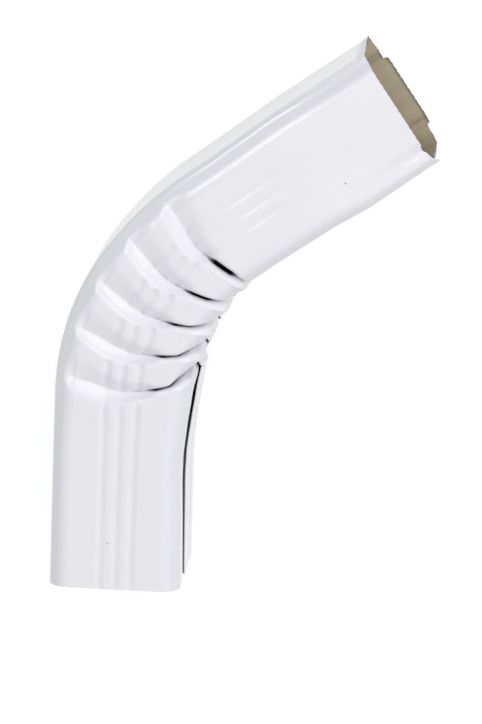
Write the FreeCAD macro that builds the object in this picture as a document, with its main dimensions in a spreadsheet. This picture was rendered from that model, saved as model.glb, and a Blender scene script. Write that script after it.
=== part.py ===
import FreeCAD, Part
import math
import os
from collections import namedtuple

# Downspout elbow: one painted aluminium sheet, rolled to a fluted rectangular tube, closed with a lock
# seam on its throat wall, gathered into pleats round the bend and crimped at the end that enters the
# next pipe. It lies on its far narrow wall, with the bend in the horizontal plane and the plain leg
# along Y. A point of the sheet is given by its station along the centre line, by a, its place across
# the bend plane (outer wall negative, throat wall positive), and by b, its place across the depth.

node_name = "downspout_elbow"
doc = FreeCAD.newDocument(node_name)
dims = doc.addObject("Spreadsheet::Sheet", "dims")

# Driving dimensions: millimetres, degrees, or shares of another size.
driving = [
    ("section_width", 60.5, "outside width of the narrow walls, in the bend plane"),
    ("section_depth", 82.5, "outside width of the wide walls, across the bend plane"),
    ("corner_radius", 9.5, "outside corner radius"),
    ("corner_flats", 6, "flats that draw a round corner"),
    ("gauge", 0.5, "sheet thickness with its paint"),
    ("flute_pitch", 7.0, "spacing of the three flutes on a narrow wall"),
    ("flute_width", 4.2, "width of a narrow wall flute"),
    ("flute_depth", 0.7, "depth of a narrow wall flute"),
    ("flute_flats", 3, "flats that draw a flute's arc"),
    ("broad_pitch", 16.0, "spacing of the three flutes on a wide wall"),
    ("broad_width", 6.0, "width of a wide wall flute"),
    ("broad_depth", 0.8, "depth of a wide wall flute"),
    ("seam_edge", 4.0, "distance of the seam's open edge from the middle of the throat wall"),
    ("seam_width", 9.2, "width of the lock seam"),
    ("seam_height", 1.6, "height of the lock seam above the throat wall"),
    ("seam_slit", 2.6, "depth of the slit under the seam's open edge"),
    ("plain_length", 88.0, "straight length from the plain end to the bend"),
    ("upper_length", 97.0, "straight length from the bend to the crimped end"),
    ("bend_radius", 97.0, "radius of the bend at the centre line"),
    ("bend_angle", 54.5, "turn of the bend"),
    ("pleat_count", 5, "gathered pleats in the bend"),
    ("pleat_depth", 7.0, "depth of a pleat at the throat wall"),
    ("pleat_tip", 0.2, "share of that depth at the pleat's outer tip"),
    ("ramp_long", 9.5, "length of a pleat's lower slope at its outer tip"),
    ("ramp_short", 3.0, "length of a pleat's lower slope at the throat wall"),
    ("lip_round", 2.4, "length over which a pleat's upper edge rolls in"),
    ("pleat_slant", 4.5, "rise of a pleat's crease from mid wall to the throat corner"),
    ("pleat_bow", 5.5, "sag of a pleat's crease at mid wall"),
    ("seam_rise", 3.0, "rise of a pleat's crease from the throat corner to mid throat wall"),
    ("flare_length", 40.0, "length of the plain leg over which the throat wall swells"),
    ("flare_reach", 4.5, "swell of the throat wall at the lowest pleat"),
    ("collar_length", 6.0, "plain length between the bend and the straight part of the upper leg"),
    ("crimp_length", 50.0, "length of the crimped end"),
    ("crimp_draw", 0.8, "inward draw of every wall at the crimped end"),
    ("tuck_half", 4.0, "half width of a corner tuck, which ends where the corner's round starts"),
    ("tuck_depth", 3.6, "depth of a corner tuck at the crimped end"),
    ("tongue", 2.0, "length that the far wall's middle panel stands out at the crimped end"),
]
for row, (alias, number, meaning) in enumerate(driving, start=1):
    dims.set(f"A{row}", meaning)
    dims.set(f"B{row}", str(number))
    dims.setAlias(f"B{row}", alias)
doc.recompute()


def dim(alias):
    return float(dims.get(alias))


half_width = dim("section_width") / 2
half_depth = dim("section_depth") / 2
narrow_half = half_width - dim("corner_radius")
wide_half = half_depth - dim("corner_radius")
gauge = dim("gauge")
turn = math.radians(dim("bend_angle"))
bend_length = dim("bend_radius") * turn
bend_end = dim("plain_length") + bend_length
pleat_count = int(dim("pleat_count"))
tuck_place = narrow_half - dim("tuck_half")
tuck_inner = tuck_place - dim("tuck_half")

# A point of the section: its place, the direction that a fold moves it, its wall and place along it.
SheetPoint = namedtuple("SheetPoint", "a b out_a out_b wall along")


def flute(centre, width, depth):
    """A shallow round groove pressed into a wall, as (along, lift) points on its arc."""
    radius = (width * width / 4 + depth * depth) / (2 * depth)
    steps = int(dim("flute_flats"))
    offsets = [width * (i / steps - 0.5) for i in range(steps + 1)]
    return [(centre + x, radius - depth - math.sqrt(radius * radius - x * x)) for x in offsets]


def narrow_features():
    flutes = []
    for i in (-1, 0, 1):
        flutes += flute(i * dim("flute_pitch"), dim("flute_width"), dim("flute_depth"))
    return [(-tuck_place, 0), (-tuck_inner, 0)] + flutes + [(tuck_inner, 0), (tuck_place, 0)]


def broad_flute(i):
    return flute(i * dim("broad_pitch"), dim("broad_width"), dim("broad_depth"))


def seam(inside):
    """The lock seam: an open folded edge with a slit under it, a flat top and a far side."""
    start, width, height = -dim("seam_edge"), dim("seam_width"), dim("seam_height")
    lip_under, slit_floor, edge_lean = 0.55 * height, 0.15 * height, 0.3
    outline = [
        (start, 0),
        (start + dim("seam_slit"), slit_floor),
        (start - edge_lean, lip_under),
        (start, height),
        (start + width - edge_lean, height),
        (start + width, 0),
    ]
    if inside:
        spaces = len(outline) - 1
        outline = [(start + width * i / spaces, 0) for i in range(len(outline))]
    return outline


def section_points(inside):
    """The tube's closed section as sheet points, on the outer skin or a gauge inside it."""
    inset = gauge if inside else 0
    throat = broad_flute(-1) + seam(inside) + broad_flute(1)
    outer = broad_flute(-1) + broad_flute(0) + broad_flute(1)
    walls = [
        ("near", narrow_half, narrow_features(), (0, half_depth), (1, 0), (0, 1)),
        ("throat", wide_half, throat, (half_width, 0), (0, -1), (1, 0)),
        ("far", narrow_half, narrow_features(), (0, -half_depth), (-1, 0), (0, -1)),
        ("outer", wide_half, outer, (-half_width, 0), (0, 1), (-1, 0)),
    ]
    points = []
    for i, (wall, half, features, middle, along_way, out) in enumerate(walls):
        for along, lift in [(-half, 0)] + features + [(half, 0)]:
            a = middle[0] + along_way[0] * along + out[0] * (lift - inset)
            b = middle[1] + along_way[1] * along + out[1] * (lift - inset)
            points.append(SheetPoint(a, b, out[0], out[1], wall, along))
        next_out = walls[(i + 1) % len(walls)][5]
        reach = dim("corner_radius") - inset
        corner_flats = int(dim("corner_flats"))
        for step in range(1, corner_flats):
            angle = math.pi / 2 * step / corner_flats
            out_a = out[0] * math.cos(angle) + next_out[0] * math.sin(angle)
            out_b = out[1] * math.cos(angle) + next_out[1] * math.sin(angle)
            a = narrow_half * (out[0] + next_out[0]) + reach * out_a
            b = wide_half * (out[1] + next_out[1]) + reach * out_b
            points.append(SheetPoint(a, b, out_a, out_b, "corner", 0))
    return points


def place(station, a, b):
    """A point in space from its station along the centre line and its place in the section."""
    if station <= dim("plain_length"):
        return FreeCAD.Vector(a, station, b)
    radius = dim("bend_radius")
    angle = min((station - dim("plain_length")) / radius, turn)
    past = max(station - bend_end, 0)
    return FreeCAD.Vector(
        radius - (radius - a) * math.cos(angle) + past * math.sin(angle),
        dim("plain_length") + (radius - a) * math.sin(angle) + past * math.cos(angle),
        b,
    )


# The box that the elbow fills, from the plain leg's outer corner to the crimped end's two far corners.
tube_end = bend_end + dim("upper_length")
drawn_half = half_width - dim("crimp_draw")
box_right = place(tube_end, drawn_half + dim("seam_height"), 0).x
box_back = place(tube_end, -drawn_half, 0).y
origin_shift = FreeCAD.Vector((half_width - box_right) / 2, -box_back / 2, half_depth)


def throat_share(point):
    return min(max((point.a + half_width) / dim("section_width"), 0), 1)


def swell(point, amount):
    """How far the throat side of a ring is pushed outward at a sheet point."""
    return amount * throat_share(point) ** 3


def plain_ring(section, station, swelling=0):
    return [place(station, point.a + swell(point, swelling), point.b) for point in section]


def fold_depth(share):
    """Pleat depth at a share of the way from the outer wall to the throat, none on the outer wall."""
    start = min(share * dim("section_width") / dim("corner_radius"), 1)
    ease = start * start * (3 - 2 * start)
    return dim("pleat_depth") * ease * (dim("pleat_tip") + (1 - dim("pleat_tip")) * share)


def outside_fold(share):
    """A pleat's profile along the tube, as (way up, lift): rim, slope, crease, rolled lip and its end."""
    depth = fold_depth(share)
    ramp = dim("ramp_long") + (dim("ramp_short") - dim("ramp_long")) * share
    lip = dim("lip_round")
    return [
        (-ramp, 0),
        (-0.35 * ramp, -0.42 * depth),
        (0, -depth),
        (0.35 * lip, -0.16 * depth),
        (lip, 0),
    ]


def inside_fold(share):
    """The same profile a gauge further in, with a blunt end where the sheet doubles back."""
    outside = outside_fold(share)
    ends = [(outside[0][0] - 1, 0)] + outside + [(outside[-1][0] + 1, 0)]
    inside = []
    for before, here, after in zip(ends, ends[1:], ends[2:]):
        normals = []
        for tail, head in ((before, here), (here, after)):
            run, rise = head[0] - tail[0], head[1] - tail[1]
            length = math.hypot(run, rise)
            normals.append((rise / length, -run / length))
        (x0, y0), (x1, y1) = normals
        if here == outside[2]:
            inside += [(here[0] - gauge, here[1] - gauge), (here[0] + gauge, here[1] - gauge)]
        else:
            grow = gauge / (1 + x0 * x1 + y0 * y1)
            inside.append((here[0] + grow * (x0 + x1), here[1] + grow * (y0 + y1)))
    return [(way, lift + gauge) for way, lift in inside]


def crease_way(point):
    """How far up the tube a pleat's crease runs at a sheet point, from its own radial line."""
    share = throat_share(point)
    way = dim("pleat_slant") * (2 * share - 1) - dim("pleat_bow") * 4 * share * (1 - share)
    if point.wall == "throat":
        way += dim("seam_rise") * (1 - (point.along / wide_half) ** 2)
    return way


def pleat_rings(section, pleat, fold):
    """The rings of one pleat, from its rim below to the end of its lip above."""
    middle = dim("plain_length") + bend_length * (pleat + 0.5) / pleat_count
    swelling = dim("flare_reach") * (1 - pleat / (pleat_count - 1))
    columns = []
    for point in section:
        scale = dim("bend_radius") / (dim("bend_radius") - point.a)
        base_a = point.a + swell(point, swelling)
        columns.append([
            place(
                middle + (way + crease_way(point)) * scale,
                base_a + point.out_a * lift,
                point.b + point.out_b * lift,
            )
            for way, lift in fold(throat_share(point))
        ])
    return [list(ring) for ring in zip(*columns)]


def crimp_ring(section):
    """The cut edge of the crimped end: walls drawn in, corner tucks, and the far wall's tongue."""
    ring = []
    for point in section:
        lift = -dim("crimp_draw")
        station = tube_end
        if point.wall in ("near", "far"):
            from_tuck = abs(abs(point.along) - tuck_place)
            lift -= dim("tuck_depth") * max(1 - from_tuck / dim("tuck_half"), 0)
            if point.wall == "far" and abs(point.along) <= tuck_inner:
                station += dim("tongue")
        ring.append(place(station, point.a + point.out_a * lift, point.b + point.out_b * lift))
    return ring


def polygon_face(*points):
    return Part.Face(Part.makePolygon(list(points) + [points[0]]))


def panel(first, second, third, fourth):
    """The sheet between four points: one flat where they lie in a plane, or two on the shorter diagonal."""
    normal = (third - first).cross(fourth - second).normalize()
    if abs(normal.dot(second - first)) < 1e-7 and abs(normal.dot(fourth - third)) < 1e-7:
        return [polygon_face(first, second, third, fourth)]
    if first.distanceToPoint(third) < second.distanceToPoint(fourth):
        return [polygon_face(first, second, third), polygon_face(first, third, fourth)]
    return [polygon_face(first, second, fourth), polygon_face(second, third, fourth)]


def skin(rings):
    """The panels between each ring and the next."""
    faces = []
    for lower, upper in zip(rings, rings[1:]):
        for i in range(len(lower)):
            faces += panel(lower[i - 1], lower[i], upper[i], upper[i - 1])
    return faces


def flat_end(outer_ring, inner_ring):
    wires = [Part.makePolygon(ring + ring[:1]) for ring in (outer_ring, inner_ring)]
    return Part.makeFace(wires, "Part::FaceMakerBullseye")


def cut_edge(section, outer_ring, inner_ring):
    """The sheet's bare edge at the crimped end: flat, apart from the tongue of the far wall."""
    tongue = [i for i, point in enumerate(section) if point.wall == "far" and abs(point.along) <= tuck_place]
    first, last = tongue[0], tongue[-1]
    faces = []
    for i in tongue[1:]:
        faces += panel(outer_ring[i - 1], outer_ring[i], inner_ring[i], inner_ring[i - 1])
    outer_way = outer_ring[last:] + outer_ring[:first + 1]
    inner_way = inner_ring[last:] + inner_ring[:first + 1]
    return faces + [polygon_face(*(outer_way + inner_way[::-1]))]


outside, inside = section_points(False), section_points(True)
flare_start = dim("plain_length") - dim("flare_length")
collar_end = bend_end + dim("collar_length")
crimp_start = tube_end - dim("crimp_length")


def shaped(name, shape):
    """An object of a given shape, moved so that the elbow lies with its box centred on the origin."""
    item = doc.addObject("Part::Feature", name)
    item.Shape = shape
    item.Placement.Base = origin_shift
    return item


def section_face(name, station):
    return shaped(name, flat_end(plain_ring(outside, station), plain_ring(inside, station)))


def straight_leg(name, base, direction, length):
    leg = doc.addObject("Part::Extrusion", name)
    leg.Base = base
    leg.DirMode = "Custom"
    leg.Dir = direction
    leg.Solid = True
    leg.setExpression("LengthFwd", length)
    return leg


def gathered_bend():
    """Both skins from the swelling of the plain leg, through the pleats, to the collar of the upper leg."""
    faces = []
    for section, fold in ((outside, outside_fold), (inside, inside_fold)):
        rings = [plain_ring(section, flare_start)]
        rings.append(plain_ring(section, flare_start + dim("flare_length") / 2, 0.3 * dim("flare_reach")))
        for pleat in range(pleat_count):
            rings += pleat_rings(section, pleat, fold)
        rings.append(plain_ring(section, collar_end))
        faces += skin(rings)
    return shaped("gathered_bend", Part.makeCompound(faces))


def crimped_end():
    """Both skins of the last stretch of the upper leg, where the tucks deepen, and its bare edge."""
    cut_rings = [crimp_ring(section) for section in (outside, inside)]
    faces = cut_edge(outside, *cut_rings)
    for section, cut_ring in zip((outside, inside), cut_rings):
        faces += skin([plain_ring(section, crimp_start), cut_ring])
    return shaped("crimped_end", Part.makeCompound(faces))


plain_section = section_face("plain_section", 0)
plain_leg = straight_leg(
    "plain_leg", plain_section, FreeCAD.Vector(0, 1, 0), "dims.plain_length - dims.flare_length"
)
upper_leg = straight_leg(
    "upper_leg", section_face("upper_section", collar_end), FreeCAD.Vector(math.sin(turn), math.cos(turn), 0),
    "dims.upper_length - dims.collar_length - dims.crimp_length",
)
bend, crimp = gathered_bend(), crimped_end()
doc.recompute()

# The sheet is one piece: the walls of the legs, without the sections between the stretches, join the rest.
walls = [face for leg in (plain_leg, upper_leg) for face in leg.Shape.Faces if len(face.Wires) == 1]
sheet = Part.makeCompound(walls + plain_section.Shape.Faces + bend.Shape.Faces + crimp.Shape.Faces)
sheet.sewShape()
solid = Part.makeSolid(sheet.Shells[0])
if solid.Volume < 0:
    solid.reverse()
elbow = doc.addObject("Part::Feature", node_name)
elbow.Shape = solid
elbow.Label = node_name
doc.recompute()

for item in doc.Objects:
    if "Invalid" in item.State or "Error" in item.State:
        raise RuntimeError(f"{item.Name} did not build: {item.State}")
if elbow.Shape.isNull() or not elbow.Shape.isValid() or len(elbow.Shape.Solids) != 1:
    raise RuntimeError(f"{node_name} is not one valid solid")

os.makedirs("parts", exist_ok=True)
elbow.Shape.exportStep(f"parts/{node_name}.step")
print(node_name, "volume", round(elbow.Shape.Volume), "mm3", len(elbow.Shape.Faces), "faces")
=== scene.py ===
import bpy
import math
import numpy as np
from mathutils import Matrix, Vector


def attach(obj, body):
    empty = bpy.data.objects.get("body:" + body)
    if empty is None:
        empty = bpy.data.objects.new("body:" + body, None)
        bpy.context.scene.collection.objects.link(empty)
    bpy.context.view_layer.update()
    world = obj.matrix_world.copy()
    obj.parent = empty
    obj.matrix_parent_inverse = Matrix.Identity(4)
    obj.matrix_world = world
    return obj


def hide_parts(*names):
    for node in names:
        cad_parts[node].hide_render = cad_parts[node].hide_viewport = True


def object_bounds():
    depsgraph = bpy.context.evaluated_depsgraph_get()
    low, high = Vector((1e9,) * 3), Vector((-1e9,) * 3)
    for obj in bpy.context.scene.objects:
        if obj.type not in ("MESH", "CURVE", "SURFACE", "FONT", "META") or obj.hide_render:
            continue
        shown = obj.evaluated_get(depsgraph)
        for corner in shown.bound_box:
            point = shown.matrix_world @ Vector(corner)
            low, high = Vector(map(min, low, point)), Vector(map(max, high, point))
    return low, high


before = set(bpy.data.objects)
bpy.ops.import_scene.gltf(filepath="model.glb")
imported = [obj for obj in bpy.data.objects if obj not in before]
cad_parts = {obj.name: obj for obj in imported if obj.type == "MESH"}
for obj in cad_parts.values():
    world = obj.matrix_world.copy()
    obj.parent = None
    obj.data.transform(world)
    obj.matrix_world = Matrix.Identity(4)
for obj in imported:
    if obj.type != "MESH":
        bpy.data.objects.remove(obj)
cadLow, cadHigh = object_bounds()
bpy.ops.object.select_all(action="DESELECT")
mm = 0.001
tiny = 1e-6

# the folded sheet, in millimetres: a runs across the bend from the outer wall to the throat,
# b across the depth, and a station is a place along the tube from its plain end
sheet = {
    "width": 60.5, "depth": 82.5, "corner": 9.5, "gauge": 0.5,
    "plainLength": 88.0, "upperLength": 97.0, "bendRadius": 97.0, "bendAngle": 54.5,
    "rows": 160, "narrowStep": 0.72, "wideStep": 1.35, "cornerSteps": 9, "bandSteps": 26, "smoothAngle": 62.0,
    # fine flutes on the narrow walls, with their share of the depth by station
    "flutePitch": 7.0, "fluteWidth": 5.0, "fluteDepth": 0.7,
    "fluteKnots": [0, 70, 95, 150, 170, 183, 196, 215, 240, 280],
    "fluteShare": [0.75, 0.9, 1.6, 1.6, 1.0, 0.6, 1.03, 0.87, 0.68, 0.5],
    "rampFade": 0.85, "rampFadeSpan": (-0.3, 0.0),   # of the flutes on the ramps down into the folds
    # broad flutes on the wide walls
    "broadPitch": 16.0, "broadWidth": 6.5, "broadDepth": 0.6,
    "broadKnots": [0, 90, 140, 290], "broadShare": [1.0, 1.0, 0.06, 0.06],
    # the corner band's facets as (place across the corner, drop there, tilt)
    "facets": [(0.0, 0.0, 22.0), (3.2, 1.29, 48.0), (9.5, 9.5, 68.0)], "facetSharpness": 40.0,
    "bandKnots": [0, 70, 100, 130, 165, 280], "bandShare": [0.0, 0.0, 0.5, 0.85, 1.0, 1.0],
    # a low bead along the band's outer side, by angle round the corner
    "bead": 0.82, "beadAt": 1.15, "beadWidth": 0.11,
    "beadKnots": [160, 185, 235, 262], "beadShare": [0.0, 1.0, 1.0, 0.0],
}

# the gathers of the bend, lowest first; a share is the part of the way from the outer wall to the throat
pleats = {
    "bow": [6.6, 6.4, 6.0, 5.2, 3.4],   # sag of the crease at mid wall
    "slant": 4.5, "seamRise": 3.0,      # of the whole crease, and of its middle on the throat wall
    "tipRise": 4.0, "tipSpan": (0.2, 0.58),   # of a crease's outer end, by share
    "depth": [6.6, 7.0, 7.0, 7.0, 7.0], "depthPower": 1.6,   # at the throat wall
    "tip": 0.4, "startSpan": (-27.0, -22.0),   # part of the depth at the outer end, and its start along a
    "rampTip": 1.8, "rampLong": 6.6, "rampShort": 3.2, "rampRound": 0.2,   # the slope down into a crease
    "leafSpan": (0.04, 0.6), "rampSpan": (0.4, 0.6),   # by share
    "lipLong": 13.0, "lipShort": 2.2, "lipTaper": 1.5, "lipPower": 1.3,   # the slope up out of it
    # a crease becomes a slit beside the throat wall
    "slitFrom": [0.66, 0.65, 0.64, 0.64, 0.6], "slitLength": 0.1, "slitEndSpan": (0.84, 0.94),   # by share
    "slitGap": [0.1, 0.12, 0.15, 0.5, 1.3],   # width of a slit's floor
    "slitPower": [8.0, 8.0, 7.0, 4.0, 3.5], "slitLipPower": 5.0,   # steepness of its sides
    # painted shade along a slit's sides: a thin dark line with one wide place, then along a crease from its
    # slit to the seam
    "thinPaintedShade": [1.0, 1.0, 1.0, 0.0, 0.0], "wideAt": 0.74, "wideLength": 0.045,   # thin, with one wide place
    "endPaintedShade": [0.8, 0.8, 0.7, 0.5, 0.3],   # of a crease between its slit and the seam
    # the proud roll of a lower segment's edge, which fades towards the wall that the elbow lies on
    "rim": 0.45, "rimSpan": (0.0, 0.25), "rimAt": 0.1, "rimWidth": 0.22, "rimFade": (-1.0, 0.2),
    "throatRim": 1.1, "throatRimSpan": (0.88, 1.0),
    "legSpan": (0.75, 1.0),   # part of the plain leg along which the lowest rim rises
    # set-back of the throat wall's near panel above a crease, and the part of it that its far panel takes
    "hook": [4.4, 3.6, 2.6, 1.4, 0.0], "hookFar": 0.6,
    # the near panel above a crease stays pressed in beside the corner, and recovers along the upper leg
    "push": [0.3, 0.4, 0.5, 0.6, 1.3], "pushPower": 1.3, "recovery": 70.0,
    "pushRise": (-21.5, -18.0), "pushFall": (-16.0, 18.0),   # along a
    # outward push of the throat wall, as (station, push), at the folds, then as (way past the bend, push)
    "swellBelow": [(0, -0.5), (48, -0.9), (60, -0.4), (72, 0.936), (84, 2.34)],
    "swell": [2.6, 3.2, 2.2, 0.4, -1.6],
    "swellPast": [(16, -2.2), (45, -2.0), (62, -0.6), (97, -0.9)], "swellPower": 3,
    # inward sink of the outer wall, at the folds and past the bend
    "sink": [0.0, 0.2, 1.0, 2.3, 2.7], "sinkPast": [(16, 2.3), (45, 1.0), (97, 0.0)], "sinkPower": 2,
    # rows of the mesh down a ramp, up a lip, and between two pleats
    "rampRows": [0.0, 0.14, 0.28, 0.42, 0.56, 0.7, 0.82, 0.92, 1.0],
    "lipRows": [0.07, 0.16, 0.3, 0.48, 0.72, 1.0],
    "gapRows": 4,
}

# the seam on the throat wall, as (place across the wall, height)
# the near panel sinks under the far panel's edge
seam = {
    "outline": [
        (-26.0, 0.0), (-20.0, -0.1), (-15.0, -0.3), (-11.0, -0.62), (-8.6, -0.95), (-7.2, -1.1), (-6.0, -1.1),
        (-5.5, -0.92), (-6.2, -0.66), (-7.6, -0.42), (-8.2, -0.2), (-8.3, 0.03), (-8.05, 0.22), (-7.2, 0.3),
        (-5.0, 0.28), (-2.5, 0.18), (0.5, 0.06), (3.0, 0.0),
    ],
    "foot": 7, "gap": (6, 9), "fold": (4, 14),   # points of the outline, counted from nought
    # the throat wall sits back beside the seam, its near panel a little more than its far one
    "backKnots": [0, 30, 60, 85, 118, 150], "back": [0.3, 0.9, 1.7, 1.9, 1.6, 0.0],
    "nearSpan": (0.8, 1.0), "farBack": 0.84, "farSpan": (-8.3, 17.7),   # by share, and across the wall
    # painted shade inside the seam's gap, by station
    "paintedShadeKnots": [0, 40, 80, 150, 165], "paintedDarkness": [0.3, 0.6, 1.0, 1.0, 0.0],   # inside the gap
    # the far panel's edge lifts towards the lowest pleat
    "gape": 0.8, "gapeFrom": 10.0, "gapeTo": 88.0, "gapeFade": 45.0, "gapePower": 1.5,
    "edgeSpan": (-7.5, 3.5),   # across the wall
    # the sheet is thinner where the seam crosses the folds
    "thinShare": 0.1, "thinBefore": 12.0, "thinAfter": 14.0,
}

# the crimped end: tucks as (wall, place along it, half width, depth, length)
crimp = {
    "length": 50.0, "draw": 0.8, "cornerPress": 1.6, "pressSpan": (0.0, 0.8),
    "rowsBefore": 15, "rowsIn": 31,   # of the mesh, from the last pleat to the crimp and along it
    "lastLength": 6.0, "tongue": 2.0, "tongueFrom": -19.5, "tongueTo": 17.0,   # of the far wall
    "flap": 3.4, "notch": 0.9, "notchFrom": 18.5,   # at the corner between the near and the throat wall
    "ripple": 1.1, "ripplePitch": 13.0, "rippleLength": 5.0, "tooth": 0.9,   # of the outer wall
    "ragged": 0.22, "raggedWaves": (2.4, 0.9), "raggedPower": 4,   # of the whole cut
    "tucks": [
        ("near", 20.5, 4.6, 3.0, 48.0),
        ("far", -17.0, 4.0, 3.6, 50.0), ("far", 18.2, 2.4, 3.2, 50.0),
    ],
}

turn = math.radians(sheet["bendAngle"])
bendLength = sheet["bendRadius"] * turn
bendEnd = sheet["plainLength"] + bendLength
tubeEnd = bendEnd + sheet["upperLength"]
crimpStart = tubeEnd - crimp["length"]
halfWidth, halfDepth = sheet["width"] / 2, sheet["depth"] / 2
narrowHalf, wideHalf = halfWidth - sheet["corner"], halfDepth - sheet["corner"]
pleatCount = len(pleats["bow"])
middles = [sheet["plainLength"] + bendLength * (k + 0.5) / pleatCount for k in range(pleatCount)]
originShift = Vector((cadLow[0] / mm + halfWidth, cadLow[1] / mm, cadLow[2] / mm + halfDepth))


def partWay(x, low, high):
    return np.clip((x - low) / (high - low), 0, 1)


def rise(x, low, high):
    x = partWay(x, low, high)
    return x * x * (3 - 2 * x)


def hump(x, middle, width):
    return np.exp(-((x - middle) / width) ** 2)


def groove(x, width, depth):
    return np.where(np.abs(x) < width / 2, -depth * np.cos(np.pi * x / width) ** 2, 0.0)


def evenly(low, high, step):
    count = max(1, round((high - low) / step))
    return [low + (high - low) * i / count for i in range(count + 1)]


def sectionColumns():
    columns = []   # wall, place along the wall, lift, corner angle
    seamLow, seamHigh = seam["outline"][0][0], seam["outline"][-1][0]
    throat = [(x, 0.0) for x in evenly(-wideHalf, seamLow, sheet["wideStep"])][:-1]
    throat += seam["outline"]
    throat += [(x, 0.0) for x in evenly(seamHigh, wideHalf, sheet["wideStep"])][1:]
    narrow = [(x, 0.0) for x in evenly(-narrowHalf, narrowHalf, sheet["narrowStep"])]
    outer = [(x, 0.0) for x in evenly(-wideHalf, wideHalf, sheet["wideStep"])]
    for wall, points in (("near", narrow), ("throat", throat), ("far", narrow), ("outer", outer)):
        columns += [(wall, x, lift, 0.0) for x, lift in points]
        steps = sheet["bandSteps"] if wall == "outer" else sheet["cornerSteps"]
        columns += [(wall + "Corner", 0.0, 0.0, math.pi / 2 * i / steps) for i in range(1, steps)]
    return columns


columns = sectionColumns()
columnCount = len(columns)
number = np.arange(columnCount)
wallOf = np.array([c[0] for c in columns])
along = np.array([c[1] for c in columns])
seamLift = np.array([c[2] for c in columns])
cornerAngle = np.array([c[3] for c in columns])

# each column's place in the section, and the way that a fold moves it
wayOut = {"near": (0, 1), "throat": (1, 0), "far": (0, -1), "outer": (-1, 0)}
wayAlong = {"near": (1, 0), "throat": (0, -1), "far": (-1, 0), "outer": (0, 1)}
middleOf = {
    "near": (0, halfDepth), "throat": (halfWidth, 0),
    "far": (0, -halfDepth), "outer": (-halfWidth, 0),
}
order = ["near", "throat", "far", "outer"]
baseA, baseB, outA, outB = (np.zeros(columnCount) for _ in range(4))
for j, (wall, x, _, angle) in enumerate(columns):
    name = wall.replace("Corner", "")
    out = wayOut[name]
    if wall == name:
        baseA[j] = middleOf[name][0] + wayAlong[name][0] * x
        baseB[j] = middleOf[name][1] + wayAlong[name][1] * x
        outA[j], outB[j] = out
    else:
        following = wayOut[order[(order.index(name) + 1) % 4]]
        outA[j] = out[0] * math.cos(angle) + following[0] * math.sin(angle)
        outB[j] = out[1] * math.cos(angle) + following[1] * math.sin(angle)
        baseA[j] = narrowHalf * (out[0] + following[0]) + sheet["corner"] * outA[j]
        baseB[j] = wideHalf * (out[1] + following[1]) + sheet["corner"] * outB[j]
share = np.clip((baseA + halfWidth) / sheet["width"], 0, 1)
stretch = sheet["bendRadius"] / (sheet["bendRadius"] - baseA)
onThroat = wallOf == "throat"
onOuter = wallOf == "outer"
onCorner = wallOf == "outerCorner"   # the round between the outer and the near wall

seamStart = columns.index(("throat", *seam["outline"][0], 0.0))
upToSeam = number <= seamStart + seam["foot"]
pastSeam = onThroat & ~upToSeam


def onSeam(firstPoint, lastPoint):
    return (number >= seamStart + firstPoint) & (number <= seamStart + lastPoint)


def creaseWay(k):
    way = pleats["slant"] * (2 * share - 1) - pleats["bow"][k] * 4 * share * (1 - share)
    way += pleats["tipRise"] * (1 - rise(share, *pleats["tipSpan"]))
    way[onThroat] += pleats["seamRise"] * (1 - (along[onThroat] / wideHalf) ** 2)
    return way


def foldDepth(k):
    deepening = pleats["tip"] + (1 - pleats["tip"]) * share ** pleats["depthPower"]
    return pleats["depth"][k] * rise(baseA, *pleats["startSpan"]) * deepening


# a ramp is leaf-shaped on the narrow walls
leaf = np.sin(np.pi * partWay(share, *pleats["leafSpan"]))
ramp = pleats["rampTip"] + (pleats["rampLong"] - pleats["rampTip"]) * leaf
ramp += (pleats["rampShort"] - pleats["rampTip"]) * rise(share, *pleats["rampSpan"])
lip = pleats["lipShort"] + (pleats["lipLong"] - pleats["lipShort"]) * (1 - share) ** pleats["lipTaper"]


def pleatRows(k):
    middle = middles[k] + creaseWay(k) * stretch
    depth = foldDepth(k)
    slit = rise(share, pleats["slitFrom"][k], pleats["slitFrom"][k] + pleats["slitLength"])
    slitOpen = 1 - rise(share, *pleats["slitEndSpan"])
    proud = pleats["rim"] * rise(share, *pleats["rimSpan"])
    proud = proud + pleats["throatRim"] * rise(share, *pleats["throatRimSpan"])
    proud = proud * rise(outB, *pleats["rimFade"])
    wide = hump(share, pleats["wideAt"], pleats["wideLength"])
    # painted shade: a slit's floor is painted dark, and so is a thin line along its flanks, standing in for
    # the shade deep in the fold
    paintedDarkness = slit * (slitOpen + pleats["endPaintedShade"][k] * (1 - slitOpen) * upToSeam)
    flankPaintedShade = paintedDarkness * (1 - pleats["thinPaintedShade"][k] * (1 - wide))
    rows = []
    for u in pleats["rampRows"]:
        bulge = proud * hump(u, pleats["rimAt"], pleats["rimWidth"])
        slope = (1 - pleats["rampRound"]) * u + pleats["rampRound"] * rise(u, 0, 1)
        fall = slope * (1 - slit) + u ** pleats["slitPower"][k] * slit
        rowPaintedShade = paintedDarkness if u == 1 else flankPaintedShade * (u == pleats["rampRows"][-2])
        rows.append((middle - ramp * (1 - u) * stretch, bulge - depth * fall, rowPaintedShade))
    for t in pleats["lipRows"]:
        fall = (1 - t) ** pleats["lipPower"] * (1 - slit) + (1 - t) ** pleats["slitLipPower"] * slit
        way = pleats["slitGap"][k] * slit * slitOpen + lip * t
        rows.append((middle + way * stretch, -depth * fall, flankPaintedShade * (t == pleats["lipRows"][0])))
    return rows


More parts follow.
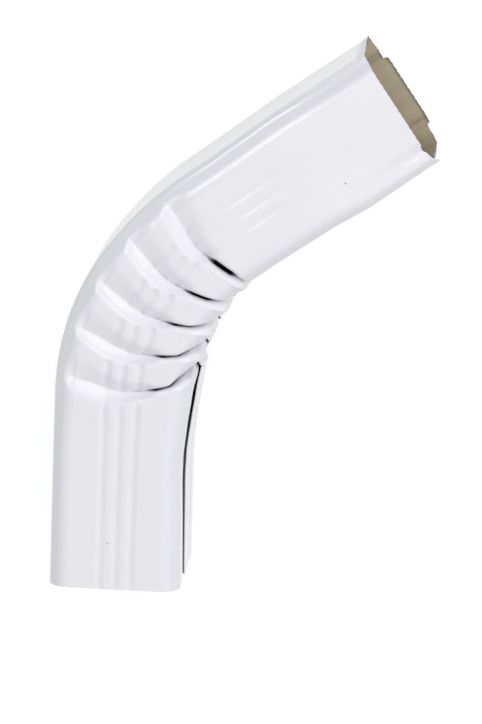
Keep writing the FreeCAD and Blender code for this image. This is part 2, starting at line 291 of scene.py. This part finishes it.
def allRows():
    none = np.zeros(columnCount)
    bend = []
    for k in range(pleatCount):
        rows = pleatRows(k)
        if bend:
            (lowStation, lowLift, _), (highStation, highLift, _) = bend[-1], rows[0]
            for i in range(1, pleats["gapRows"] + 1):
                f = i / (pleats["gapRows"] + 1)
                between = lowStation + (highStation - lowStation) * f
                bend.append((between, lowLift + (highLift - lowLift) * f, none))
        bend += rows
    lowerCount = sheet["rows"] + 1 - len(bend) - crimp["rowsBefore"] - crimp["rowsIn"]
    start, startLift, _ = bend[0]
    lower = []
    for i in range(lowerCount):
        f = i / lowerCount
        lower.append((start * f, startLift * rise(f, *pleats["legSpan"]), none))
    upper = []
    lipEnd = bend[-1][0]
    for i in range(1, crimp["rowsBefore"] + 1):
        upper.append((lipEnd + (crimpStart - lipEnd) * i / crimp["rowsBefore"], none, none))
    for i in range(1, crimp["rowsIn"] + 1):
        upper.append((np.full(columnCount, crimpStart + crimp["length"] * i / crimp["rowsIn"]), none, none))
    rows = lower + bend + upper
    return tuple(np.array([r[part] for r in rows]) for part in range(3))


station, lift, paintedShade = allRows()
# painted shade: a dark line painted along the far wall's cut
paintedShade[-1, wallOf == "far"] = 1.0   # the dark line of the far wall's cut
print("sheet grid:", station.shape)

# the panels above each crease, and the ramps down into it
onNearSide = outB > 0.5
beside = onNearSide * rise(baseA, *pleats["pushRise"]) * (1 - rise(baseA, *pleats["pushFall"]))
hook, onRamp = np.zeros(station.shape), np.zeros(station.shape)
for k in range(pleatCount):
    crease = middles[k] + creaseWay(k) * stretch
    recovered = crease + pleats["recovery"]
    if k + 1 < pleatCount:
        recovered = middles[k + 1] + (creaseWay(k + 1) - ramp) * stretch
    f = (station - crease) / (recovered - crease)
    pressed = np.where((f > -tiny) & (f < 1), np.clip(1 - f, 0, 1) ** pleats["pushPower"], 0)
    lift = lift - pleats["push"][k] * beside * pressed
    hook = hook + pleats["hook"][k] * np.where((f > 0) & (f < 1), 1 - f, 0)
    upRamp = (station - crease) / (ramp * stretch) + 1
    onRamp = np.maximum(onRamp, rise(upRamp, *sheet["rampFadeSpan"]) * (upRamp < 1))

# the bend has flattened the round between the near and the outer wall to a band
fromNear = math.pi / 2 - cornerAngle
reaches = []
for across, drop, tilt in sheet["facets"]:
    slope = math.tan(math.radians(tilt))
    reaches.append((sheet["corner"] - drop + across * slope) / (np.cos(fromNear) + slope * np.sin(fromNear)))
sharpness = sheet["facetSharpness"]
band = sum(r ** -sharpness for r in reaches) ** (-1 / sharpness) - sheet["corner"]
lift = lift + np.where(onCorner, band, 0) * np.interp(station, sheet["bandKnots"], sheet["bandShare"])
bead = sheet["bead"] * hump(fromNear, sheet["beadAt"], sheet["beadWidth"]) * onCorner
lift = lift + bead * np.interp(station, sheet["beadKnots"], sheet["beadShare"])

# flutes run the whole length, and fade on the ramps; the throat wall has one broad flute, beyond the seam
fineFlutes, broadFlutes = np.zeros(columnCount), np.zeros(columnCount)
onNarrow = (wallOf == "near") | (wallOf == "far")
for i in (-1, 0, 1):
    fineFlutes += onNarrow * groove(along - i * sheet["flutePitch"], sheet["fluteWidth"], sheet["fluteDepth"])
    onWide = onOuter | (onThroat & (i == 1))
    broadFlutes += onWide * groove(along - i * sheet["broadPitch"], sheet["broadWidth"], sheet["broadDepth"])
fluteShare = np.interp(station, sheet["fluteKnots"], sheet["fluteShare"]) * (1 - sheet["rampFade"] * onRamp)
lift = lift + fineFlutes * fluteShare
lift = lift + broadFlutes * np.interp(station, sheet["broadKnots"], sheet["broadShare"])

# the seam gapes towards the lowest pleat
gaping = partWay(station, seam["gapeFrom"], seam["gapeTo"]) ** seam["gapePower"]
gaping = gaping * (1 - rise(station, seam["gapeTo"], seam["gapeTo"] + seam["gapeFade"]))
farEdge = pastSeam * (1 - rise(along, *seam["edgeSpan"]))
lift = lift + seamLift + seam["gape"] * gaping * farEdge

# the crimped end is drawn in, and tucked
toEnd = partWay(station, crimpStart, tubeEnd)
lift = lift - crimp["draw"] * toEnd
cornerPlace = np.where(wallOf == "nearCorner", narrowHalf + sheet["corner"] * cornerAngle, 0)
for wall, place, half, depth, length in crimp["tucks"]:
    onWall = (wallOf == wall) | ((wallOf == "nearCorner") & (wall == "near"))
    where = np.where(wallOf == wall, np.where(wall == "far", -along, along), cornerPlace)
    tuck = np.clip(1 - np.abs(where - place) / half, 0, 1) * onWall
    lift = lift - depth * tuck * partWay(station, tubeEnd - length, tubeEnd)

# the corner band is pressed in towards the cut
press = crimp["cornerPress"] * np.where(onCorner, np.cos(cornerAngle) * np.sin(2 * cornerAngle), 0)
lift = lift - press * rise(toEnd, *crimp["pressSpan"])

# the outer wall is rippled towards the cut, which is ragged, and toothed along that wall
wave = np.cos(2 * np.pi * along / crimp["ripplePitch"]) * onOuter
lift = lift + crimp["ripple"] * wave * rise(station, tubeEnd - crimp["rippleLength"], tubeEnd)
firstWave, secondWave = crimp["raggedWaves"]
ragged = crimp["ragged"] * np.sin(firstWave * number) * np.cos(secondWave * number)
atCut = partWay(station, tubeEnd - crimp["rippleLength"], tubeEnd) ** crimp["raggedPower"]
station = station + (crimp["tooth"] * wave + ragged) * atCut

# the far wall's middle stands out past the cut
onTongue = (wallOf == "far") & (along > crimp["tongueFrom"]) & (along < crimp["tongueTo"])
lastRows = partWay(station, tubeEnd - crimp["lastLength"], tubeEnd)
station = station + crimp["tongue"] * lastRows * onTongue

# a flap and a notch at the throat end of the near wall
onFlap = np.where(wallOf == "nearCorner", np.sin(cornerAngle) ** 2, 0)
onNotch = (wallOf == "near") & (along > crimp["notchFrom"])
station = station + lastRows * (crimp["flap"] * onFlap - crimp["notch"] * onNotch)


def alongTube(below, atFolds, pastBend):
    knots = [way for way, _ in below] + middles + [bendEnd + way for way, _ in pastBend]
    amounts = [amount for _, amount in below] + atFolds + [amount for _, amount in pastBend]
    return np.interp(station, knots, amounts)


# the throat wall swells into the folds and sinks past them; the outer wall is flatter than a true arc
swelling = alongTube(pleats["swellBelow"], pleats["swell"], pleats["swellPast"])
swelling = swelling * share ** pleats["swellPower"]
sinking = alongTube([], pleats["sink"], pleats["sinkPast"]) * (1 - share) ** pleats["sinkPower"]

# the throat wall sits back along the seam, up to the lower folds, and the seam's gap is painted dark as shade
nearPanel = rise(share, *seam["nearSpan"]) * upToSeam
farPanel = seam["farBack"] * (1 - rise(along, *seam["farSpan"])) * pastSeam
setBack = np.interp(station, seam["backKnots"], seam["back"]) * (nearPanel + farPanel)
setBack = setBack + hook * (nearPanel + pleats["hookFar"] * farPanel)
paintedShade = np.maximum(paintedShade, onSeam(*seam["gap"]) * np.interp(station, seam["paintedShadeKnots"], seam["paintedDarkness"]))

# the whole sheet is bent
a = baseA + swelling + sinking - setBack + outA * lift
b = baseB + outB * lift
radius, plain = sheet["bendRadius"], sheet["plainLength"]
angle = np.clip((station - plain) / radius, 0, turn)
past = np.maximum(station - bendEnd, 0)
before = np.minimum(station, plain)
placeX = radius - (radius - a) * np.cos(angle) + past * np.sin(angle)
placeY = before + (radius - a) * np.sin(angle) + past * np.cos(angle)
grid = np.stack([placeX + originShift.x, placeY + originShift.y, b + originShift.z], axis=-1) * mm

# a cylinder with no ends, cut into as many rows as the sheet has, then pressed to shape
bpy.ops.mesh.primitive_cylinder_add(vertices=columnCount, radius=1, depth=2, end_fill_type="NOTHING")
elbow = bpy.context.object
elbow.name = elbow.data.name = "elbowSheet"


def selectUprights(mesh):
    bpy.ops.object.mode_set(mode="OBJECT")
    height = np.array([v.co.z for v in mesh.vertices])
    for edge in mesh.edges:
        edge.select = abs(height[edge.vertices[0]] - height[edge.vertices[1]]) > tiny
    bpy.ops.object.mode_set(mode="EDIT")


bpy.ops.object.mode_set(mode="EDIT")
bpy.context.tool_settings.mesh_select_mode = (False, True, False)
for cuts in (1, sheet["rows"] // 2 - 1):   # in half, then each half
    bpy.ops.mesh.select_all(action="DESELECT")
    selectUprights(elbow.data)
    bpy.ops.mesh.subdivide(number_cuts=cuts)
bpy.ops.object.mode_set(mode="OBJECT")
co = np.zeros(len(elbow.data.vertices) * 3)
elbow.data.vertices.foreach_get("co", co)
co = co.reshape(-1, 3)
around = np.arctan2(co[:, 1], co[:, 0]) / (2 * np.pi) - 0.25   # the cylinder's first vertex lies on +Y
column = np.round(around * columnCount).astype(int) % columnCount
row = np.round((co[:, 2] + 1) / 2 * sheet["rows"]).astype(int)
elbow.data.vertices.foreach_set("co", grid[row, column].ravel())
# the painted shade of the slits, the seam's gap and the far wall's cut is carried as a point attribute
paintedShadeLayer = elbow.data.attributes.new("paintedShade", "FLOAT", "POINT")
paintedShadeLayer.data.foreach_set("value", paintedShade[row, column])
elbow.data.update()
print("sheet pressed:", len(elbow.data.vertices), "vertices")


def newMaterial(name):
    material = bpy.data.materials.new(name)
    material.use_nodes = True
    nodes = material.node_tree.nodes
    return material, nodes, material.node_tree.links, nodes["Principled BSDF"]


def noise(nodes, links, coordinates, scale, detail, rough=0.5):
    node = nodes.new("ShaderNodeTexNoise")
    node.inputs["Scale"].default_value = scale
    node.inputs["Detail"].default_value = detail
    node.inputs["Roughness"].default_value = rough
    links.new(coordinates, node.inputs["Vector"])
    return node.outputs["Fac"]


def ramped(nodes, links, value, stops):
    node = nodes.new("ShaderNodeValToRGB")
    while len(node.color_ramp.elements) < len(stops):
        node.color_ramp.elements.new(0.5)
    for element, (position, colour) in zip(node.color_ramp.elements, stops):
        element.position = position
        element.color = (*colour, 1)
    links.new(value, node.inputs["Fac"])
    return node.outputs["Color"]


def ranged(nodes, links, value, low, high):
    node = nodes.new("ShaderNodeMapRange")
    node.inputs["To Min"].default_value = low
    node.inputs["To Max"].default_value = high
    links.new(value, node.inputs["Value"])
    return node.outputs["Result"]


def bumped(nodes, links, height, strength, distance):
    node = nodes.new("ShaderNodeBump")
    node.inputs["Strength"].default_value = strength
    node.inputs["Distance"].default_value = distance
    links.new(height, node.inputs["Height"])
    return node.outputs["Normal"]


def mixed(nodes, links, amount, colour, other):
    node = nodes.new("ShaderNodeMix")
    node.data_type = "RGBA"
    links.new(amount, node.inputs["Factor"])
    links.new(colour, node.inputs["A"])
    node.inputs["B"].default_value = (*other, 1)
    return node.outputs["Result"]


def worked(nodes, links, operation, first, second):
    node = nodes.new("ShaderNodeMath")
    node.operation = operation
    for socket, value in zip(node.inputs, (first, second)):
        if isinstance(value, float):
            socket.default_value = value
        else:
            links.new(value, socket)
    return node.outputs[0]


# how strongly painted shade is put on each point
def paintedShadeMask(nodes):
    node = nodes.new("ShaderNodeAttribute")
    node.attribute_name = "paintedShade"
    return node.outputs["Fac"]


paint = {
    # painted shade: the near-black colour is put into the slits, the seam's gap and along the far wall's cut
    "light": (0.83, 0.822, 0.846), "deep": (0.80, 0.795, 0.824), "paintedShade": (0.012, 0.011, 0.01),
    "patchScale": 9.0, "patchDetail": 3.0, "patchFrom": 0.35, "patchTo": 0.65,
    "streakScale": 55.0, "streakDetail": 4.0, "streakRough": 0.6, "roughness": (0.12, 0.18),
    "peelScale": 900.0, "peelDetail": 2.0, "peelStrength": 0.05, "peelHeight": 0.0002,
    "specks": [(-3.6, 20.5, 0.3), (13.8, 239.5, 0.38)],   # across and along the near wall, radius
    "speck": (0.2, 0.19, 0.19),
}


def nearSpecks(nodes, links, place):
    onNear = np.flatnonzero(wallOf == "near")
    total = 0.0
    for across, way, size in paint["specks"]:
        j = onNear[np.argmin(np.abs(along[onNear] - across))]
        i = np.argmin(np.abs(station[:, j] - way))
        distance = nodes.new("ShaderNodeVectorMath")
        distance.operation = "DISTANCE"
        links.new(place, distance.inputs[0])
        distance.inputs[1].default_value = grid[i, j]
        inside = worked(nodes, links, "LESS_THAN", distance.outputs["Value"], size * mm)
        total = worked(nodes, links, "MAXIMUM", inside, total)
    return total


def whitePaint():
    material, nodes, links, shader = newMaterial("whitePaint")
    place = nodes.new("ShaderNodeTexCoord").outputs["Object"]
    patches = noise(nodes, links, place, paint["patchScale"], paint["patchDetail"])
    stops = [(paint["patchFrom"], paint["deep"]), (paint["patchTo"], paint["light"])]
    colour = ramped(nodes, links, patches, stops)
    # painted shade where the attribute says so
    colour = mixed(nodes, links, paintedShadeMask(nodes), colour, paint["paintedShade"])
    colour = mixed(nodes, links, nearSpecks(nodes, links, place), colour, paint["speck"])
    links.new(colour, shader.inputs["Base Color"])
    streaks = noise(nodes, links, place, paint["streakScale"], paint["streakDetail"], paint["streakRough"])
    links.new(ranged(nodes, links, streaks, *paint["roughness"]), shader.inputs["Roughness"])
    peel = noise(nodes, links, place, paint["peelScale"], paint["peelDetail"])
    normal = bumped(nodes, links, peel, paint["peelStrength"], paint["peelHeight"])
    links.new(normal, shader.inputs["Normal"])
    return material


inner = {
    # edge is the near-black painted shade of the inner face, where the painted shade attribute is strong
    "light": (0.60, 0.52, 0.39), "deep": (0.52, 0.45, 0.33), "edge": (0.04, 0.04, 0.04), "edgeShadePower": 2.5,
    "patchScale": 40.0, "patchDetail": 4.0, "patchFrom": 0.3, "patchTo": 0.7,
    "streakScale": 300.0, "streakDetail": 2.0, "roughness": (0.32, 0.46),
}


def washCoat():
    material, nodes, links, shader = newMaterial("beigeWashCoat")
    place = nodes.new("ShaderNodeTexCoord").outputs["Object"]
    patches = noise(nodes, links, place, inner["patchScale"], inner["patchDetail"])
    stops = [(inner["patchFrom"], inner["deep"]), (inner["patchTo"], inner["light"])]
    colour = ramped(nodes, links, patches, stops)
    # painted shade on the inner face, strongest along the far wall's cut and in the folds
    paintedEdgeShade = worked(nodes, links, "POWER", paintedShadeMask(nodes), inner["edgeShadePower"])
    links.new(mixed(nodes, links, paintedEdgeShade, colour, inner["edge"]), shader.inputs["Base Color"])
    streaks = noise(nodes, links, place, inner["streakScale"], inner["streakDetail"])
    links.new(ranged(nodes, links, streaks, *inner["roughness"]), shader.inputs["Roughness"])
    return material


cut = {
    # painted shade: the cut edges are near black up to 3 cm above the floor, turning to bare metal grey by 7
    # cm
    "stops": [(0.03, (0.06, 0.055, 0.05)), (0.07, (0.75, 0.75, 0.76))],   # by height in metres
    "grainScale": 1500.0, "grainDetail": 2.0, "roughness": (0.35, 0.5), "metal": 0.7,
}


def cutEdge():
    material, nodes, links, shader = newMaterial("bareCutEdgePaintedShade")
    place = nodes.new("ShaderNodeTexCoord").outputs["Object"]
    height = nodes.new("ShaderNodeSeparateXYZ")
    links.new(place, height.inputs[0])
    links.new(ramped(nodes, links, height.outputs["Z"], cut["stops"]), shader.inputs["Base Color"])
    grain = noise(nodes, links, place, cut["grainScale"], cut["grainDetail"])
    links.new(ranged(nodes, links, grain, *cut["roughness"]), shader.inputs["Roughness"])
    shader.inputs["Metallic"].default_value = cut["metal"]
    return material


for material in (whitePaint(), washCoat(), cutEdge()):
    elbow.data.materials.append(material)

# where the seam crosses the folds the sheet is thinner, so that its inner face stays inside
inFolds = (station > middles[0] - seam["thinBefore"]) & (station < middles[-1] + seam["thinAfter"])
thinned = onSeam(*seam["fold"]) & inFolds
fullGauge = elbow.vertex_groups.new(name="fullGauge")
fullGauge.add(np.flatnonzero(~thinned[row, column]).tolist(), 1.0, "REPLACE")

# the sheet's thickness goes inwards; its inner face and its cut edges take the other finishes
thickness = elbow.modifiers.new("gauge", "SOLIDIFY")
thickness.thickness = sheet["gauge"] * mm
thickness.offset = -1
thickness.vertex_group = fullGauge.name
thickness.thickness_vertex_group = seam["thinShare"]
thickness.use_even_offset = False
thickness.material_offset = 1
thickness.material_offset_rim = 2
bpy.context.view_layer.objects.active = elbow
elbow.select_set(True)
bpy.ops.object.modifier_apply(modifier=thickness.name)
bpy.ops.object.shade_smooth_by_angle(angle=math.radians(sheet["smoothAngle"]))
elbow.data.calc_loop_triangles()
print("sheet finished:", len(elbow.data.loop_triangles), "triangles")

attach(elbow, "root")
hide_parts("downspout_elbow")

# floor, white to the camera and keeping the shadow
floorLook = {"size": 6.0, "drop": 0.0003, "grey": 0.4, "glow": 0.72, "roughness": 0.9, "shine": 0.1}
bpy.ops.object.select_all(action="DESELECT")
bpy.ops.mesh.primitive_plane_add(size=floorLook["size"], location=(0, 0, -floorLook["drop"]))
floor = bpy.context.object
floor.name = "floor"
material, nodes, links, shader = newMaterial("paleFloor")
shader.inputs["Base Color"].default_value = (floorLook["grey"],) * 3 + (1,)
shader.inputs["Roughness"].default_value = floorLook["roughness"]
shader.inputs["Specular IOR Level"].default_value = floorLook["shine"]
light = nodes.new("ShaderNodeLightPath").outputs
seen = worked(nodes, links, "MAXIMUM", light["Is Camera Ray"], light["Is Glossy Ray"])
seen = worked(nodes, links, "MAXIMUM", seen, light["Is Transmission Ray"])
glow = worked(nodes, links, "MULTIPLY", seen, floorLook["glow"])
shader.inputs["Emission Color"].default_value = (1, 1, 1, 1)
links.new(glow, shader.inputs["Emission Strength"])
floor.data.materials.append(material)
print("floor set")

# world and lamps: a pale room, brightest overhead
lamps = {
    "sky": [
        (0.5, (0.29, 0.31, 0.38)), (0.62, (0.40, 0.42, 0.48)),
        (0.78, (0.62, 0.63, 0.64)), (1.0, (0.75, 0.75, 0.75)),
    ],
    "aim": (0, 0, 0.03),
    "boxes": {
        "keyBox": {"place": (0.92, 1.25, 1.56), "size": (1.6, 0.9), "power": 9.2},
        "edgeBox": {"place": (-1.0, 0.94, 1.63), "size": (1.3, 0.45), "power": 8},
        "sideBox": {"place": (1.6, 0.0, 0.9), "size": (0.5, 1.2), "power": 9},
    },
}
world = bpy.data.worlds.new("softRoom")
bpy.context.scene.world = world
world.use_nodes = True
nodes, links = world.node_tree.nodes, world.node_tree.links
split = nodes.new("ShaderNodeSeparateXYZ")
links.new(nodes.new("ShaderNodeTexCoord").outputs["Generated"], split.inputs[0])
height = nodes.new("ShaderNodeMapRange")
height.inputs["From Min"].default_value = -1
links.new(split.outputs["Z"], height.inputs["Value"])
links.new(ramped(nodes, links, height.outputs["Result"], lamps["sky"]), nodes["Background"].inputs["Color"])


def softbox(name, settings):
    lamp = bpy.data.lights.new(name, "AREA")
    lamp.shape = "RECTANGLE"
    lamp.size, lamp.size_y = settings["size"]
    lamp.energy = settings["power"]
    holder = bpy.data.objects.new(name, lamp)
    bpy.context.scene.collection.objects.link(holder)
    place = Vector(settings["place"])
    holder.location = place
    holder.rotation_euler = (Vector(lamps["aim"]) - place).to_track_quat("-Z", "Y").to_euler()


for name, settings in lamps["boxes"].items():
    softbox(name, settings)
print("lamps set")

# the photograph's viewpoint: nearly overhead, leaning towards the bend
view = {
    "tilt": 11.66, "swing": -3.67, "roll": -2.8, "across": -55.0, "up": -94.9, "away": 1790.7,
    "lens": 192.0, "sensor": 36.0, "clip": 20.0,
}
turned = (Matrix.Rotation(math.radians(view["swing"]), 3, "Y")
          @ Matrix.Rotation(math.radians(view["tilt"]), 3, "X")
          @ Matrix.Rotation(math.radians(view["roll"]), 3, "Z"))
eye = turned.transposed() @ Vector((-view["across"], -view["up"], view["away"])) + originShift
cameraData = bpy.data.cameras.new("camera")
cameraData.lens = view["lens"]
cameraData.sensor_width = view["sensor"]
cameraData.clip_end = view["clip"]
camera = bpy.data.objects.new("camera", cameraData)
bpy.context.scene.collection.objects.link(camera)
camera.matrix_world = Matrix.Translation(eye * mm) @ turned.transposed().to_4x4()
bpy.context.scene.camera = camera
bpy.context.scene.view_settings.view_transform = "Standard"
